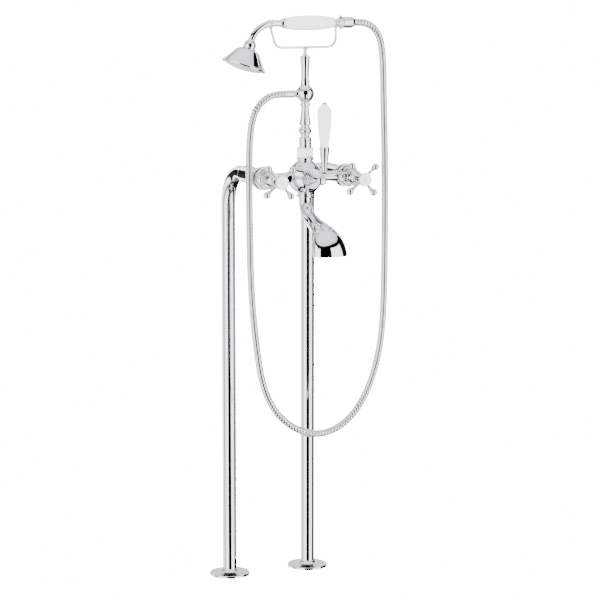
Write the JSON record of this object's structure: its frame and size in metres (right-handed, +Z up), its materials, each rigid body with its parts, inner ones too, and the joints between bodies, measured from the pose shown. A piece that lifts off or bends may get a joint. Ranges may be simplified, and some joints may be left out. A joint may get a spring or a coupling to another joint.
{
  "type": "floor standing bath filler",
  "caption": "Floor standing bath filler: standpipes, ball body mixer with cross handles, lever diverter, flared spout, turned riser with a cradle, and a hand shower on a ribbed hose.",
  "frame": {"origin": "on the floor, midway between the two standpipes", "axes": "+Z up the standpipes, -Y forward over the bath, +X to the right of someone who faces the handles"},
  "size_m": [0.3065, 0.3278, 0.9958],
  "materials": {
    "chrome": "bright plated, polished",
    "hose_steel": "polished interlocked metal",
    "spray_face": "satin drilled plate",
    "porcelain": "glazed white porcelain, opaque",
    "plate_steel": "plain steel",
    "bare_brass": "machined",
    "ceramic": "lapped alumina, opaque",
    "rubber": "moulded"
  },
  "bodies": {
    "stand": {"floor_cover_left": "chrome", "floor_cover_right": "chrome", "cover_screw_left": "chrome", "cover_screw_right": "chrome", "standpipe_left": "chrome", "standpipe_right": "chrome", "union_sleeve_left": "chrome", "union_sleeve_right": "chrome", "mixer_body": "chrome", "hot_bonnet": "chrome", "cold_bonnet": "chrome", "diverter_bonnet": "chrome", "riser_collar": "chrome", "riser_nut": "chrome", "riser_column": "chrome", "cradle": "chrome", "spout_collar": "chrome", "spout": "chrome", "hose_outlet": "chrome", "outlet_nut": "chrome", "hose": "hose_steel", "floor_plate_left": "plate_steel", "floor_plate_right": "plate_steel", "pipe_ferrule_left": "bare_brass", "pipe_ferrule_right": "bare_brass", "hot_fixed_disc": "ceramic", "cold_fixed_disc": "ceramic", "inlet_washer_left": "rubber", "inlet_washer_right": "rubber", "outlet_washer": "rubber"},
    "hot_handle": {"hot_spindle": "bare_brass", "hot_turning_disc": "ceramic", "hot_spindle_seal": "rubber", "hot_cross_handle": "chrome", "hot_index_cap": "porcelain", "hot_handle_screw": "plate_steel"},
    "cold_handle": {"cold_spindle": "bare_brass", "cold_turning_disc": "ceramic", "cold_spindle_seal": "rubber", "cold_cross_handle": "chrome", "cold_index_cap": "porcelain", "cold_handle_screw": "plate_steel"},
    "diverter_lever": {"diverter_spindle": "bare_brass", "diverter_plug": "bare_brass", "diverter_seal": "rubber", "lever_arm": "chrome", "lever_grip": "porcelain", "lever_button": "chrome"},
    "handset": {"handset_neck": "chrome", "neck_ferrule": "chrome", "handset_grip": "porcelain", "grip_tube": "bare_brass", "handset_tail": "chrome", "tail_washer": "rubber", "tail_nut": "chrome", "head_nut": "chrome", "shower_bell": "chrome", "spray_seal": "rubber", "spray_plate": "spray_face"}
  },
  "joints": [
    {"name": "hot_handle_turn", "type": "hinge", "parent": "stand", "child": "hot_handle", "pos_m": [-0.075, -0.2, 0.7245], "axis": [0, -1, 0], "range_deg": [0, 90]},
    {"name": "cold_handle_turn", "type": "hinge", "parent": "stand", "child": "cold_handle", "pos_m": [0.075, -0.2, 0.7245], "axis": [0, 1, 0], "range_deg": [0, 90]},
    {"name": "lever_swing", "type": "hinge", "parent": "stand", "child": "diverter_lever", "pos_m": [0, -0.2, 0.7245], "axis": [0, -1, 0], "range_deg": [-45, 45]},
    {"name": "handset_lift", "type": "slide", "parent": "stand", "child": "handset", "axis": [0, 0, 1], "range_m": [0, 0.12], "deforming": ["hose"]}
  ]
}
